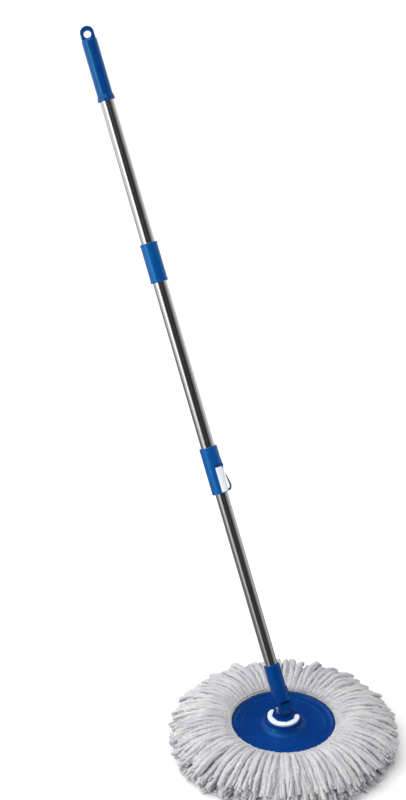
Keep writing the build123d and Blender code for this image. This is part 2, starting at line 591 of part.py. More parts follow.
def make_yarn_fringe():
    seat = REFILL_TOP - REFILL_THICKNESS
    shoulder = (FRINGE_RADIUS - FRINGE_SHOULDER, 0, FRINGE_SHOULDER_TOP)
    edge = (FRINGE_RADIUS, 0, FRINGE_EDGE_HEIGHT)
    outline = Polyline([
        edge, (FRINGE_RADIUS, 0, FRINGE_FOOT), (FRINGE_RADIUS - FRINGE_FOOT, 0, 0), (0, 0, 0), (0, 0, seat),
        (PLATE_RADIUS, 0, seat), (PLATE_RADIUS, 0, PLATE_TOP),
    ])
    crown = ThreePointArc((PLATE_RADIUS, 0, PLATE_TOP), (FRINGE_CROWN_RADIUS, 0, FRINGE_CROWN), shoulder)
    return revolve(make_face(outline + crown + Line(shoulder, edge)), Axis.Z)


POLE_PIECES = {
    "grip": make_grip,
    "upper_tube": make_upper_tube,
    "coupler_sleeve": make_coupler_sleeve,
    "coupler_insert": make_coupler_insert,
    "middle_tube": make_middle_tube,
    "lock_sleeve": make_lock_sleeve,
    "lever_pin": make_lever_pin,
    "rod_plug": make_rod_plug,
    "rod_rivet": make_rod_rivet,
    "twisted_rod": make_twisted_rod,
    "guide_bush": make_guide_bush,
    "lower_tube": make_lower_tube,
    "clutch_cup": make_clutch_cup,
    "drive_nut": make_drive_nut,
    "clutch_spring": make_clutch_spring,
    "clutch_cap": make_clutch_cap,
    "pole_socket": make_pole_socket,
    "pivot_pin": make_pivot_pin,
    "lock_lever": make_lock_lever,
    "lever_pad": make_lever_pad,
}

HEAD_PIECES = {
    "pivot_block": make_pivot_block,
    "mop_plate": make_mop_plate,
    "retaining_clip": make_retaining_clip,
    "refill_ring": make_refill_ring,
    "yarn_fringe": make_yarn_fringe,
}

os.makedirs("parts", exist_ok=True)
for name, make in POLE_PIECES.items():
    export_step(POLE_PLACE * make(), f"parts/{name}.step")
for name, make in HEAD_PIECES.items():
    export_step(make(), f"parts/{name}.step")
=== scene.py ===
# %% [markdown]
# # A spin mop, from its frame to its yarns
# The hard pieces of the mop come in as a fixed frame that is already the right size and in
# the right place. This lesson sets up the view and the light, gives every hard piece the
# finish of the real one, and grows the microfibre fringe out of single yarns.

# %% Load the frame
import json
import math

import bpy
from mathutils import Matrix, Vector


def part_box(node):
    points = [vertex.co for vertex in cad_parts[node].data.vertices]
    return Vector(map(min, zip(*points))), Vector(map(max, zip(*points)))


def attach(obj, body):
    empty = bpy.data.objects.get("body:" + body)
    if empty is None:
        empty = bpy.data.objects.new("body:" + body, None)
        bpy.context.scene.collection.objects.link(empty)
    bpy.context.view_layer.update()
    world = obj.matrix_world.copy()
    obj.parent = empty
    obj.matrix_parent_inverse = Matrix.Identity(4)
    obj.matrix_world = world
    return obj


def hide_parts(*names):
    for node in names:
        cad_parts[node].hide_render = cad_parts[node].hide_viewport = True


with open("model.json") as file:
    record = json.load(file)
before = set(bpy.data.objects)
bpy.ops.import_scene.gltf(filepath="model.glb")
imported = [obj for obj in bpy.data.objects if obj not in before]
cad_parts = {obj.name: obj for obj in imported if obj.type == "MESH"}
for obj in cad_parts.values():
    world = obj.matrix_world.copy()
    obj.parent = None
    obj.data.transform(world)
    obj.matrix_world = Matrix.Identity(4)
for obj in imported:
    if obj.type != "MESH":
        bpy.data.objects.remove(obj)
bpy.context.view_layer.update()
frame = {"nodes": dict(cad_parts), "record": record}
joints = {joint["name"]: joint for joint in frame["record"]["behaviour"]["joints"]}
print("nodes in the frame:", len(frame["nodes"]))

# %% [markdown]
# ## The view
# The mop is seen from a little above head height, far enough away that the pole hardly
# narrows. A target point and a camera point on one line of sight are easier to read and to
# change than a rotation, so the camera is turned towards its target with a track quaternion.
# The standard view transform keeps the plastic's strong blue, which a film look would fade.

# %% Camera
VIEW_AZIMUTH = math.radians(56)      # where the camera looks, from +Y towards -X
VIEW_SIDE = -0.123                   # camera and target, along the picture's width
VIEW_BACK = 2.802                    # camera behind the target, level
TARGET_HEIGHT = 0.603
CAMERA_HEIGHT = 2.148
VIEW_ANGLE = math.radians(20.0)      # from the picture's bottom to its top

picture_right = Vector((math.cos(VIEW_AZIMUTH), math.sin(VIEW_AZIMUTH), 0))
look_away = Vector((-math.sin(VIEW_AZIMUTH), math.cos(VIEW_AZIMUTH), 0))
target = picture_right * VIEW_SIDE + Vector((0, 0, TARGET_HEIGHT))
eye = picture_right * VIEW_SIDE - look_away * VIEW_BACK + Vector((0, 0, CAMERA_HEIGHT))

camera_data = bpy.data.cameras.new("camera")
camera_data.sensor_fit = "VERTICAL"
camera_data.angle = VIEW_ANGLE
camera = bpy.data.objects.new("camera", camera_data)
camera.location = eye
camera.rotation_euler = (target - eye).to_track_quat("-Z", "Y").to_euler()
bpy.context.collection.objects.link(camera)
bpy.context.scene.camera = camera
bpy.context.scene.view_settings.view_transform = "Standard"
print("camera to target:", round((target - eye).length, 3), "m")

# %% [markdown]
# ## Helpers for shader nodes
# A material is a small graph. These helpers add a node, set its plain inputs and join
# sockets, so that each finish below reads as a short list of steps.

# %% Node helpers
def add_node(tree, kind, **settings):
    """Adds a node, setting properties by name and inputs by a dictionary."""
    node = tree.nodes.new(kind)
    inputs = settings.pop("inputs", {})
    for name, value in settings.items():
        setattr(node, name, value)
    for name, value in inputs.items():
        node.inputs[name].default_value = value
    return node


def new_material(name, **principled):
    """A material with one Principled shader, whose constants are set on its own sockets."""
    material = bpy.data.materials.new(name)
    material.use_nodes = True
    tree = material.node_tree
    shader = tree.nodes["Principled BSDF"]
    for socket, value in principled.items():
        shader.inputs[socket.replace("_", " ")].default_value = value
    return material, tree, shader


def object_pattern(tree, scale=(1, 1, 1), turn=(0, 0, 0)):
    """Object coordinates, turned and stretched."""
    coordinates = add_node(tree, "ShaderNodeTexCoord")
    mapping = add_node(tree, "ShaderNodeMapping", inputs={"Scale": scale, "Rotation": turn})
    tree.links.new(coordinates.outputs["Object"], mapping.inputs["Vector"])
    return mapping.outputs["Vector"]


def noise(tree, vector, scale, detail=3.0, roughness=0.55):
    """A noise pattern's grey value."""
    node = add_node(tree, "ShaderNodeTexNoise",
                    inputs={"Scale": scale, "Detail": detail, "Roughness": roughness})
    tree.links.new(vector, node.inputs["Vector"])
    return node.outputs["Fac"]


def ramp(tree, value, low, high, colour_low, colour_high):
    """Turns a grey value into a colour between two stops."""
    node = add_node(tree, "ShaderNodeValToRGB")
    stops = node.color_ramp.elements
    stops[0].position, stops[1].position = low, high
    stops[0].color, stops[1].color = colour_low, colour_high
    tree.links.new(value, node.inputs["Fac"])
    return node.outputs["Color"]


def grey_ramp(tree, value, low, high, grey_low, grey_high):
    """Turns a grey value into another range of grey."""
    node = add_node(tree, "ShaderNodeMapRange", inputs={
        "From Min": low, "From Max": high, "To Min": grey_low, "To Max": grey_high})
    tree.links.new(value, node.inputs["Value"])
    return node.outputs["Result"]


def bump(tree, shader, height, strength, distance, under=None):
    """Adds a bump to a shader, on top of another bump where one is given."""
    node = add_node(tree, "ShaderNodeBump", inputs={"Strength": strength, "Distance": distance})
    tree.links.new(height, node.inputs["Height"])
    if under:
        tree.links.new(under.outputs["Normal"], node.inputs["Normal"])
    tree.links.new(node.outputs["Normal"], shader.inputs["Normal"])
    return node


# %% [markdown]
# ## Studio
# The mop stands on a plain pale floor in soft light. Polished steel shows nothing but what
# is round it, so the studio needs something dark for the tubes to mirror: real studios hang
# black cloths beside the camera and beyond the object, and lay one on the floor. Here the
# floor is dark near the mop and the sky has three dark patches, and only reflections see
# them.

# %% Floor
FLOOR_HALF = 14.0
FLOOR_GREY = 0.93
MAT_GREY = 0.14
MAT_INNER, MAT_OUTER = 1.2, 3.2      # where the dark mat starts to fade and has faded out

floor_mesh = bpy.data.meshes.new("floor")
corners = [(x * FLOOR_HALF, y * FLOOR_HALF, 0) for x, y in ((-1, -1), (1, -1), (1, 1), (-1, 1))]
floor_mesh.from_pydata(corners, [], [(0, 1, 2, 3)])
floor = bpy.data.objects.new("floor", floor_mesh)
bpy.context.collection.objects.link(floor)

floor_material, floor_tree, floor_shader = new_material("studio_floor", Roughness=0.9)
distance = add_node(floor_tree, "ShaderNodeVectorMath", operation="LENGTH")
floor_tree.links.new(object_pattern(floor_tree), distance.inputs[0])
mat_shade = grey_ramp(
    floor_tree, distance.outputs["Value"], MAT_INNER, MAT_OUTER, MAT_GREY, FLOOR_GREY)
floor_rays = add_node(floor_tree, "ShaderNodeLightPath")
floor_seen = add_node(floor_tree, "ShaderNodeMix", data_type="FLOAT", inputs={"A": FLOOR_GREY})
floor_tree.links.new(floor_rays.outputs["Is Glossy Ray"], floor_seen.inputs["Factor"])
floor_tree.links.new(mat_shade, floor_seen.inputs["B"])
floor_tree.links.new(floor_seen.outputs["Result"], floor_shader.inputs["Base Color"])
floor_mesh.materials.append(floor_material)
print("floor:", 2 * FLOOR_HALF, "m across")

# %% [markdown]
# The sky is three skies. The lens sees an even white one. Soft light comes from a plain one,
# brightest overhead and to the left, so that the rounds of the fittings and the tufts have a
# light and a dark side. Reflections see pale walls with the dark patches: each patch is a
# direction, and a ramp turns the angle from it into a grey.

# %% Sky helpers
BLACK_CLOTH = 0.03                   # the grey at a cloth's middle
towards_camera = (eye - target).normalized()

world = bpy.data.worlds.new("studio")
bpy.context.scene.world = world
world.use_nodes = True
sky = world.node_tree
sky.nodes.clear()
direction = add_node(sky, "ShaderNodeTexCoord").outputs["Generated"]


def facing(aim):
    """How nearly a ray goes one way: 1 along it, 0 across it and -1 against it."""
    share = add_node(sky, "ShaderNodeVectorMath", operation="DOT_PRODUCT")
    share.inputs[1].default_value = aim.normalized()
    sky.links.new(direction, share.inputs[0])
    return share.outputs["Value"]


def near_cloth(right, up):
    """A direction beside the line to the camera."""
    return towards_camera + picture_right * right + Vector((0, 0, up))


def set_stop(stop, place_on_ramp, grey):
    """Puts one grey on a colour ramp."""
    stop.position = place_on_ramp
    stop.color = (grey, grey, grey, 1)


def cloth(middle, shades):
    """A dark patch in the mirrored sky, as a grey that falls to black at its middle."""
    half = grey_ramp(sky, facing(middle), -1.0, 1.0, 0.0, 1.0)
    shade = add_node(sky, "ShaderNodeValToRGB")
    stops = shade.color_ramp.elements
    set_stop(stops[0], *shades[0])
    set_stop(stops[1], 1.0, BLACK_CLOTH)
    for place_on_ramp, grey in shades[1:]:
        set_stop(stops.new(place_on_ramp), place_on_ramp, grey)
    sky.links.new(half, shade.inputs["Fac"])
    return shade.outputs["Color"]


def darkened(first, second):
    """Two greys multiplied."""
    product = add_node(sky, "ShaderNodeVectorMath", operation="MULTIPLY")
    sky.links.new(first, product.inputs[0])
    sky.links.new(second, product.inputs[1])
    return product.outputs["Vector"]


# %% [markdown]
# The upper tubes mirror a broad cloth to the right of the camera, the lower tube a small one
# near the line to the camera, and the plate a far one beyond the mop, which keeps its blue
# deep. A shade is a place on the ramp, where 1 is the cloth's middle, and its grey.

# %% The sky that reflections see
WALLS = 1.0
CLOTH_HIGH = (0.72, 0.06)            # right and up of the line to the camera
CLOTH_LOW = (-0.16, -0.22)
FAR_HEIGHT = 0.75                    # the far cloth's middle, above the level line away
HIGH_SHADES = (
    (0.33, 1.0), (0.62, 0.78), (0.75, 0.55), (0.854, 0.35), (0.933, 0.175), (0.983, 0.05))
LOW_SHADES = ((0.90, 1.0), (0.955, 0.62), (0.980, 0.30), (0.992, 0.10))
FAR_SHADES = ((0.76, 1.0), (0.86, 0.5), (0.92, 0.16), (0.97, 0.06))

high_cloth = cloth(near_cloth(*CLOTH_HIGH), HIGH_SHADES)
low_cloth = cloth(near_cloth(*CLOTH_LOW), LOW_SHADES)
far_cloth = cloth(look_away + Vector((0, 0, FAR_HEIGHT)), FAR_SHADES)
mirrored = add_node(sky, "ShaderNodeBackground", inputs={"Strength": WALLS})
sky.links.new(darkened(darkened(high_cloth, low_cloth), far_cloth), mirrored.inputs["Color"])

# %% The sky that lights the mop
SIDE_LIGHT, TOP_LIGHT = 0.42, 1.05   # from the level, and from straight overhead
LEFT_LIGHT = 1.1                     # more from the left
DAYLIGHT = (0.99, 0.99, 1.0, 1)

up_share = add_node(sky, "ShaderNodeSeparateXYZ")
sky.links.new(direction, up_share.inputs[0])
from_above = grey_ramp(sky, up_share.outputs["Z"], 0.0, 1.0, SIDE_LIGHT, TOP_LIGHT)
from_left = grey_ramp(sky, facing(-picture_right), 0.0, 1.0, 0.0, LEFT_LIGHT)
brightness = add_node(sky, "ShaderNodeMath", operation="ADD")
sky.links.new(from_above, brightness.inputs[0])
sky.links.new(from_left, brightness.inputs[1])
plain = add_node(sky, "ShaderNodeBackground", inputs={"Color": DAYLIGHT})
sky.links.new(brightness.outputs["Value"], plain.inputs["Strength"])

# %% A sky for each kind of ray
white = add_node(sky, "ShaderNodeBackground", inputs={"Color": (1, 1, 1, 1)})
rays = add_node(sky, "ShaderNodeLightPath")


def choose(ray_kind, otherwise, chosen):
    """One sky for a kind of ray, and another for the rest."""
    mixer = add_node(sky, "ShaderNodeMixShader")
    sky.links.new(rays.outputs[ray_kind], mixer.inputs["Fac"])
    sky.links.new(otherwise, mixer.inputs[1])
    sky.links.new(chosen, mixer.inputs[2])
    return mixer.outputs["Shader"]


lit = choose("Is Glossy Ray", plain.outputs["Background"], mirrored.outputs["Background"])
seen = choose("Is Camera Ray", lit, white.outputs["Background"])
sky_end = add_node(sky, "ShaderNodeOutputWorld")
sky.links.new(seen, sky_end.inputs["Surface"])
print("nodes in the sky:", len(sky.nodes))

# %% [markdown]
# Two large lights add to the sky. The one overhead shades the floor softly under the yarns,
# and the strip on the left lightens the left side of the pole and the yarns.

# %% Soft lights
OVERHEAD_HEIGHT, OVERHEAD_LEFT = 3.4, 1.2
OVERHEAD_SIZE = (3.0, 3.0)
OVERHEAD_POWER = 34
STRIP_LEFT, STRIP_NEAR, STRIP_RISE = 1.9, 1.5, 0.8    # from the pole's middle
STRIP_SIZE = (1.0, 1.6)
STRIP_POWER = 9
POLE_MIDDLE = Vector((-0.25, 0, 0.5))


def soft_light(name, place, aim, size, power):
    """A large rectangular light that faces a point."""
    data = bpy.data.lights.new(name, "AREA")
    data.shape = "RECTANGLE"
    data.size, data.size_y = size
    data.energy = power
    light = bpy.data.objects.new(name, data)
    light.location = place
    light.rotation_euler = (aim - place).to_track_quat("-Z", "Y").to_euler()
    bpy.context.collection.objects.link(light)


overhead_place = Vector((0, 0, OVERHEAD_HEIGHT)) - picture_right * OVERHEAD_LEFT
strip_place = (POLE_MIDDLE - picture_right * STRIP_LEFT - look_away * STRIP_NEAR
               + Vector((0, 0, STRIP_RISE)))
soft_light("overhead", overhead_place, Vector((0, 0, 0)), OVERHEAD_SIZE, OVERHEAD_POWER)
soft_light("left_strip", strip_place, POLE_MIDDLE, STRIP_SIZE, STRIP_POWER)

# %% [markdown]
# ## Moulded plastic
# The grip, sleeves, socket, block and plate are injection-moulded in royal blue. A gloss
# moulding isn't a perfect mirror: it has a faint orange-peel surface, a little haze where
# hands and cloths have rubbed it, scuffs along it, and colour that drifts slightly with the
# flow of the plastic. Four noises at four scales give those, with a thin clear coat.

# %% Moulded plastic
FLOW_SCALE, HAZE_SCALE = 14, 55      # a noise's scale grows with how many blotches fit in a metre
PEEL_SCALE, SCUFF_SCALE = 900, 1400
FLOW_STRETCH, SCUFF_STRETCH = 0.35, 0.05
PEEL_DEPTH, SCUFF_DEPTH = 0.0004, 0.0002
NO_TINT = (1, 1, 1, 1)
SOFT_MIRROR, FULL_MIRROR = 0.45, 1.0


def moulded(name, colours, gloss, coat, gloss_tint=NO_TINT, mirror=SOFT_MIRROR):
    """Moulded plastic with flow marks, handling haze and a fine orange-peel surface."""
    material, tree, shader = new_material(
        name, Coat_Weight=coat, Coat_Roughness=0.08, IOR=1.49, Specular_IOR_Level=mirror,
        Specular_Tint=gloss_tint)
    place = object_pattern(tree)
    flow = noise(tree, object_pattern(tree, (1, 1, FLOW_STRETCH)), FLOW_SCALE, 4)
    tree.links.new(ramp(tree, flow, 0.32, 0.68, *colours), shader.inputs["Base Color"])
    haze = noise(tree, place, HAZE_SCALE, 6, 0.65)
    tree.links.new(grey_ramp(tree, haze, 0.3, 0.75, *gloss), shader.inputs["Roughness"])
    peel = bump(tree, shader, noise(tree, place, PEEL_SCALE, 2), 0.10, PEEL_DEPTH)
    scuffs = noise(tree, object_pattern(tree, (1, 1, SCUFF_STRETCH)), SCUFF_SCALE, 2)
    bump(tree, shader, grey_ramp(tree, scuffs, 0.66, 0.74, 0, 1), 0.08, SCUFF_DEPTH, peel)
    return material


# %% [markdown]
# The sleeves have the head's blue made lighter. This is painted light, standing for the brighter
# light on them. Hands keep the grip and the sleeves polished, so those three mirror more of the
# studio. The lever and the clip are white, and the hidden pieces are plastic with no pigment.
# Each plastic has two colours, between which its flow marks run.

# %% The plastics
BLUES = ((0.0002, 0.027, 0.170, 1), (0.0004, 0.038, 0.225, 1))
# painted light: the sleeves' blue is the head's blue made lighter, for the brighter light on them
SLEEVE_BLUES_PAINTED_LIGHTER = ((0.0006, 0.052, 0.245, 1), (0.0012, 0.070, 0.320, 1))
WHITES = ((0.78, 0.82, 0.90, 1), (0.88, 0.91, 0.96, 1))
NATURALS = ((0.66, 0.65, 0.60, 1), (0.76, 0.75, 0.70, 1))
BLUE_TINT = (0.18, 0.88, 1.0, 1)     # pigment near the surface cools what the gloss mirrors
GLOSSY, SATIN, MATT = (0.18, 0.34), (0.22, 0.40), (0.42, 0.60)
THIN_COAT, THICK_COAT, NO_COAT = 0.03, 0.2, 0.0

blue_plastic = moulded("blue_plastic", BLUES, GLOSSY, THIN_COAT, BLUE_TINT)
grip_plastic = moulded("grip_plastic", BLUES, GLOSSY, THIN_COAT, BLUE_TINT, FULL_MIRROR)
sleeve_plastic_painted_lighter = moulded(
    "sleeve_plastic_painted_lighter", SLEEVE_BLUES_PAINTED_LIGHTER, GLOSSY, THIN_COAT, BLUE_TINT, FULL_MIRROR)
white_plastic = moulded("white_plastic", WHITES, SATIN, THICK_COAT)
natural_plastic = moulded("natural_plastic", NATURALS, MATT, NO_COAT)
print("materials so far:", len(bpy.data.materials))

# %% [markdown]
# ## Polished steel
# The tubes are thin stainless, drawn and then polished along their length. The polish
# leaves hair-fine lines that run with the tube, so the noise is stretched a few hundred
# times along it. The tubes lean, so the pattern is turned by the pole's own angle, which
# the push joint's axis gives.

# %% Steel
LINE_SCALE, FINGER_SCALE = 2600, 28
LINE_STRETCH, FINGER_STRETCH = 0.004, 0.3
LINE_DEPTH = 0.0002
DULLED = 0.92                        # brightness left where fingers have dulled the steel
pole_axis = Vector(joints["push_stroke"]["axis"]).normalized()
lean = math.atan2(-pole_axis.x, pole_axis.z)
print("pole leans", round(math.degrees(lean), 2), "degrees")


def along_pole(tree, stretch):
    """Object coordinates stretched along the leaning pole."""
    return object_pattern(tree, (1, 1, stretch), (0, lean, 0))


def drawn_steel(name, shine, colour):
    """Steel with hair lines along the pole and faint finger haze."""
    material, tree, shader = new_material(name, Metallic=1.0)
    lines = noise(tree, along_pole(tree, LINE_STRETCH), LINE_SCALE, 3)
    haze = noise(tree, along_pole(tree, FINGER_STRETCH), FINGER_SCALE, 5, 0.6)
    dulled = tuple(channel * DULLED for channel in colour)
    blotch = ramp(tree, haze, 0.3, 0.7, dulled + (1,), colour + (1,))
    tree.links.new(blotch, shader.inputs["Base Color"])
    mix = add_node(tree, "ShaderNodeMath", operation="MULTIPLY")
    tree.links.new(lines, mix.inputs[0])
    tree.links.new(haze, mix.inputs[1])
    roughness = grey_ramp(tree, mix.outputs["Value"], 0.1, 0.5, *shine)
    tree.links.new(roughness, shader.inputs["Roughness"])
    bump(tree, shader, lines, 0.06, LINE_DEPTH)
    return material


polished_steel = drawn_steel("polished_steel", (0.10, 0.22), (0.62, 0.62, 0.62))
bright_steel = drawn_steel("bright_steel", (0.24, 0.42), (0.66, 0.66, 0.65))

# %% [markdown]
# ## Slate rubber
# The dark slate piece on the lever's outer lower face scatters light instead of mirroring
# it, and its surface has a fine grain.

# %% Rubber
WEAR_SCALE, GRAIN_SCALE = 160, 2400
GRAIN_DEPTH = 0.0003
SLATE_DARK = (0.022, 0.034, 0.042, 1)
SLATE_WORN = (0.055, 0.075, 0.085, 1)

slate_rubber, rubber_tree, rubber_shader = new_material("slate_rubber", Specular_IOR_Level=0.35)
rubber_place = object_pattern(rubber_tree)
wear = noise(rubber_tree, rubber_place, WEAR_SCALE, 4)
wear_colour = ramp(rubber_tree, wear, 0.35, 0.75, SLATE_DARK, SLATE_WORN)
wear_roughness = grey_ramp(rubber_tree, wear, 0.3, 0.7, 0.55, 0.75)
rubber_tree.links.new(wear_colour, rubber_shader.inputs["Base Color"])
rubber_tree.links.new(wear_roughness, rubber_shader.inputs["Roughness"])
grain = noise(rubber_tree, rubber_place, GRAIN_SCALE, 2)
bump(rubber_tree, rubber_shader, grain, 0.35, GRAIN_DEPTH)

# %% [markdown]
# ## Dress the frame
# The record names a finish for each hard piece, so one loop puts the right material on
# every node, and the grip and the sleeves get blues of their own: the grip mirrors more, and
# the sleeves' lighter blue is painted light. Only the yarn fringe's plain solid is left,
# because it gets real yarns.

# %% Materials on the hard pieces
FINISHES = {
    "blue_plastic": blue_plastic, "white_plastic": white_plastic, "natural_plastic": natural_plastic,
    "polished_steel": polished_steel, "bright_steel": bright_steel, "slate_rubber": slate_rubber,
}
POLE_FITTINGS = {
    "grip": grip_plastic, "coupler_sleeve": sleeve_plastic_painted_lighter, "lock_sleeve": sleeve_plastic_painted_lighter}
for subpart in frame["record"]["subparts"]:
    finish = POLE_FITTINGS.get(subpart["node"]) or FINISHES.get(subpart["material_slot"])
    if finish:
        mesh = frame["nodes"][subpart["node"]].data
        mesh.materials.clear()
        mesh.materials.append(finish)
print("finishes:", ", ".join(FINISHES))

# %% [markdown]
# ## Microfibre
# A mop yarn is a strip of split polyester fibres twisted on itself. From a hand's width
# away it reads as soft white cord: matt, bright where the fibres stand up at its edge, and
# a little grey and lavender in its folds. Sheen gives the bright edge, a low noise gives
# the drift in colour from yarn to yarn, and a fine bump gives the nap.

# %% Yarn material
TINT_SCALE, STRIP_SCALE, NAP_SCALE = 30, 420, 1500
STRIP_DEPTH, NAP_DEPTH = 0.0010, 0.0006
YARN_SHADE = (0.48, 0.475, 0.52, 1)
YARN_WHITE = (0.63, 0.63, 0.615, 1)

microfibre, yarn_tree, yarn_shader = new_material(
    "microfibre", Roughness=0.92, Sheen_Weight=0.25, Sheen_Roughness=0.5, Specular_IOR_Level=0.1)
yarn_place = object_pattern(yarn_tree)
tint = noise(yarn_tree, yarn_place, TINT_SCALE, 4, 0.6)
yarn_tree.links.new(
    ramp(yarn_tree, tint, 0.30, 0.70, YARN_SHADE, YARN_WHITE), yarn_shader.inputs["Base Color"])
fibres = noise(yarn_tree, yarn_place, NAP_SCALE, 4, 0.7)
strips = noise(yarn_tree, yarn_place, STRIP_SCALE, 2)
nap = bump(yarn_tree, yarn_shader, fibres, 0.25, NAP_DEPTH)
bump(yarn_tree, yarn_shader, strips, 0.25, STRIP_DEPTH, nap)

# %% [markdown]
# ## Yarns by geometry nodes
# The fringe is one rule repeated: a yarn leaves the refill ring, runs outwards over the
# ones below it, and droops to the floor, and its end is drawn towards its neighbours so
# that ends gather in tufts. Modelling nearly three thousand of them by hand is hopeless, and
# a hair system can't be exported, so a node tree bends straight lines into place and sweeps
# a flattened ring along each one. The ring turns as it goes, which gives the twist.

# %% Geometry node helpers
class Tree:
    """A geometry node group that reads like arithmetic."""

    def __init__(self, name):
        self.group = bpy.data.node_groups.new(name, "GeometryNodeTree")
        self.group.interface.new_socket("Geometry", in_out="OUTPUT", socket_type="NodeSocketGeometry")
        self.sockets = {}
        self.start = None

    def input(self, name, kind="NodeSocketFloat"):
        """Names an input of the group."""
        self.sockets[name] = self.group.interface.new_socket(name, in_out="INPUT", socket_type=kind)

    def given(self, name):
        """The socket that carries a named input."""
        if self.start is None:
            self.start = self.group.nodes.new("NodeGroupInput")
        return self.start.outputs[name]

    def node(self, kind, inputs=(), **settings):
        """Adds a node, and feeds its inputs with sockets or plain values."""
        node = self.group.nodes.new(kind)
        for name, value in settings.items():
            setattr(node, name, value)
        for key, value in dict(inputs).items():
            self.feed(node.inputs[key], value)
        return node

    def feed(self, socket, value):
        """Joins a socket to another, or sets it."""
        if isinstance(value, bpy.types.NodeSocket):
            self.group.links.new(value, socket)
        else:
            socket.default_value = value

    def math(self, operation, a, b=0.0, c=0.0):
        """One step of arithmetic."""
        node = self.node("ShaderNodeMath", operation=operation)
        for socket, value in zip(node.inputs, (a, b, c)):
            self.feed(socket, value)
        return node.outputs[0]

    def random(self, low, high, index, seed):
        """One random number for each yarn."""
        node = self.node("FunctionNodeRandomValue", data_type="FLOAT")
        for socket, value in zip((s for s in node.inputs if s.enabled), (low, high, index, seed)):
            self.feed(socket, value)
        return next(s for s in node.outputs if s.enabled)

    def mix(self, share, a, b):
        """a at share 0, b at share 1."""
        return self.math("ADD", a, self.math("MULTIPLY", share, self.math("SUBTRACT", b, a)))


# %% [markdown]
# The tree's inputs are the sizes a mop maker would give: how many yarns, where they start
# and end, how high they arch, how thick they are and how many tufts they gather in. Each
# yarn has a random length, lift and drift of its own, and each tuft has some that its yarns
# share. All come from one seed, to which each kind of draw adds a number of its own.

# %% Inputs and draws
YARN_INPUTS = (
    "Root Radius", "Root Height", "Tip Radius", "Tip Height", "Arch", "Arch Place", "Droop",
    "Length Spread", "Height Spread", "Tufts", "Gather", "Bulge", "Wave", "Thickness",
    "Flatness", "Twists",
)
OWN_DRAWS = {"place": 1, "drift": 2, "reach": 3, "rise": 4, "turn": 5, "size": 6}
TUFT_DRAWS = {"pull": 29, "reach": 31, "rise": 37, "drift": 41}
FULL_TURN = 2 * math.pi


def new_yarn_tree():
    """An empty tree with its named inputs."""
    tree = Tree("yarns")
    tree.input("Count", "NodeSocketInt")
    for name in YARN_INPUTS:
        tree.input(name)
    tree.input("Seed", "NodeSocketInt")
    tree.input("Material", "NodeSocketMaterial")
    return tree


def straight_lines(tree, points_along):
    """One straight line a yarn, with its points evenly along it."""
    line = tree.node("GeometryNodeCurvePrimitiveLine", {"Start": (0, 0, 0), "End": (1, 0, 0)})
    line = tree.node("GeometryNodeResampleCurve", {"Curve": line.outputs[0], "Count": points_along})
    dots = tree.node("GeometryNodePoints", {"Count": tree.given("Count")})
    lines = tree.node("GeometryNodeInstanceOnPoints", {
        "Points": dots.outputs[0], "Instance": line.outputs[0]})
    return tree.node("GeometryNodeRealizeInstances", {"Geometry": lines.outputs[0]})


# %% [markdown]
# A point on a line has to know how far along its yarn it is, which yarn that is, and which
# tuft the yarn belongs to. One small class holds those three and makes the random draws
# from them.

# %% One yarn's numbers
PLACE_SPREAD = 0.7                   # how far a root strays, in yarn spacings
WANDER_APART = 7.31                  # keeps one yarn's wander unlike the next one's
WANDER_POWER = 0.7


class Strand:
    """How far along a point is, its yarn's number, its tuft and its place in the tuft."""

    def __init__(self, tree):
        self.tree = tree
        do = tree.math
        position = tree.node("GeometryNodeInputPosition")
        place = tree.node("ShaderNodeSeparateXYZ", {0: position.outputs[0]})
        self.along = place.outputs["X"]
        line_number = tree.node("GeometryNodeInputIndex")
        index = tree.node("GeometryNodeFieldOnDomain", domain="CURVE", data_type="INT")
        tree.feed(next(s for s in index.inputs if s.enabled), line_number.outputs[0])
        self.number = next(s for s in index.outputs if s.enabled)
        strayed = do("ADD", self.number, self.own(-PLACE_SPREAD, PLACE_SPREAD, "place"))
        cell = do("MULTIPLY", do("DIVIDE", strayed, tree.given("Count")), tree.given("Tufts"))
        self.tuft = do("ROUND", cell)
        self.aside = do("SUBTRACT", cell, self.tuft)

    def own(self, low, high, draw):
        """A random number of the yarn's own."""
        seed = self.tree.math("ADD", self.tree.given("Seed"), OWN_DRAWS[draw])
        return self.tree.random(low, high, self.number, seed)

    def tufts_own(self, low, high, draw):
        """A random number that a tuft's yarns share."""
        seed = self.tree.math("ADD", self.tree.given("Seed"), TUFT_DRAWS[draw])
        return self.tree.random(low, high, self.tuft, seed)

    def both(self, own_spread, tuft_spread, draw):
        """The yarn's own number and its tuft's, each either side of none, added up."""
        return self.tree.math(
            "ADD", self.own(-own_spread, own_spread, draw),
            self.tufts_own(-tuft_spread, tuft_spread, draw))

    def power(self, exponent):
        """How far along, raised to a power."""
        return self.tree.math("POWER", self.along, exponent)

    def wander(self, step, scale):
        """A slow wander along the yarn, from a noise of its own."""
        do = self.tree.math
        where = self.tree.node("ShaderNodeCombineXYZ", {
            "X": do("MULTIPLY", self.along, scale),
            "Y": do("MULTIPLY", self.number, WANDER_APART),
            "Z": step})
        wave = self.tree.node("ShaderNodeTexNoise", {
            "Vector": where.outputs[0], "Scale": 1.0, "Detail": 1.0})
        grown = do("MULTIPLY", do("SUBTRACT", wave.outputs[0], 0.5), self.power(WANDER_POWER))
        return do("MULTIPLY", grown, self.tree.given("Wave"))


# %% [markdown]
# A yarn's place is worked out in three parts, each a sum of plain causes. Round the head it
# keeps to its root, is drawn to its tuft's middle, and drifts. Outwards it runs from the
# ring to a tip that is longer or shorter than its neighbours'. Its height falls from root to
# tip, with an arch over the rows below, a rounded tuft and a droop at the end.

